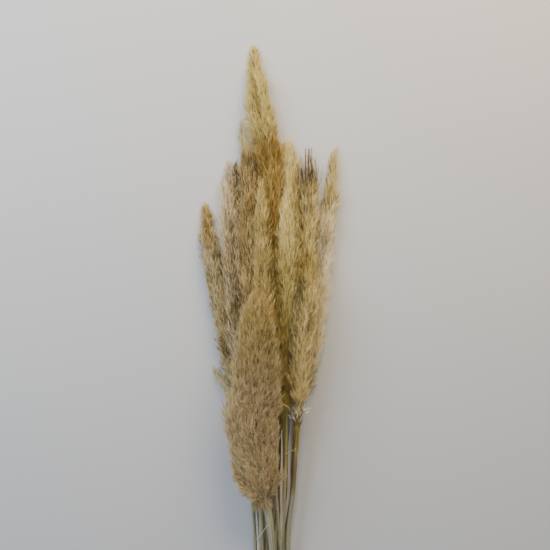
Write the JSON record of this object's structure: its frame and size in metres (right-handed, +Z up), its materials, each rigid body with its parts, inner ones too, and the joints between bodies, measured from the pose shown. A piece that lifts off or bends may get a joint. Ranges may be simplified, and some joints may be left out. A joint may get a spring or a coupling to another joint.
{
  "type": "bundle of dried pampas grass",
  "caption": "Loose bunch of cut and dried pampas grass with feathery plumes and straw stems, lying on its side, for display in a tall vase.",
  "frame": {"origin": "bottom centre of the bunch, on the surface that it lies on", "axes": "+Z up, +Y along the stems from the cut ends to the plume tips, +X across the bunch to the right as seen from above with the plumes pointing away"},
  "size_m": [0.225, 1.0457, 0.1017],
  "materials": {
    "golden_plume": "fluffy dried seed hairs, golden tan, matt with a slight silky sheen",
    "cream_plume": "fluffy dried seed hairs, pale cream, silky",
    "beige_plume": "soft dense seed hairs, warm beige brown, matt",
    "russet_plume": "dried spikelets, orange brown at the head, matt",
    "brown_plume": "open dried spikelets with dark brown tips, matt",
    "grey_culm": "dried grass stem, grey green, satin with fine ribs along it",
    "green_culm": "dried grass stem, olive yellow, satin with fine ribs along it",
    "pale_culm": "dried grass stem, straw coloured, satin with fine ribs along it",
    "leaf_sheath": "papery dried leaf, ribbed along its length, matt"
  },
  "bodies": {
    "root": {"stem_tall": "grey_culm", "stem_far_left": "green_culm", "stem_left_pale": "grey_culm", "stem_back_golden": "pale_culm", "stem_dark_tip": "green_culm", "stem_far_right": "pale_culm", "stem_side_tuft": "green_culm", "stem_brown": "green_culm", "stem_broad_cream": "grey_culm", "stem_centre_pale": "grey_culm", "stem_front_golden": "pale_culm", "stem_front_large": "pale_culm", "plume_tall": "golden_plume", "plume_far_left": "russet_plume", "plume_left_pale": "cream_plume", "plume_back_golden": "golden_plume", "plume_dark_tip": "brown_plume", "plume_far_right": "golden_plume", "plume_side_tuft": "brown_plume", "plume_brown": "brown_plume", "plume_broad_cream": "cream_plume", "plume_centre_pale": "cream_plume", "plume_front_golden": "golden_plume", "plume_front_large": "beige_plume", "sheath_front_large": "leaf_sheath", "sheath_front_golden": "leaf_sheath", "sheath_brown": "leaf_sheath", "sheath_far_right": "leaf_sheath", "sheath_far_left": "leaf_sheath", "dried_leaf": "leaf_sheath", "loose_straw": "leaf_sheath"}
  },
  "joints": []
}
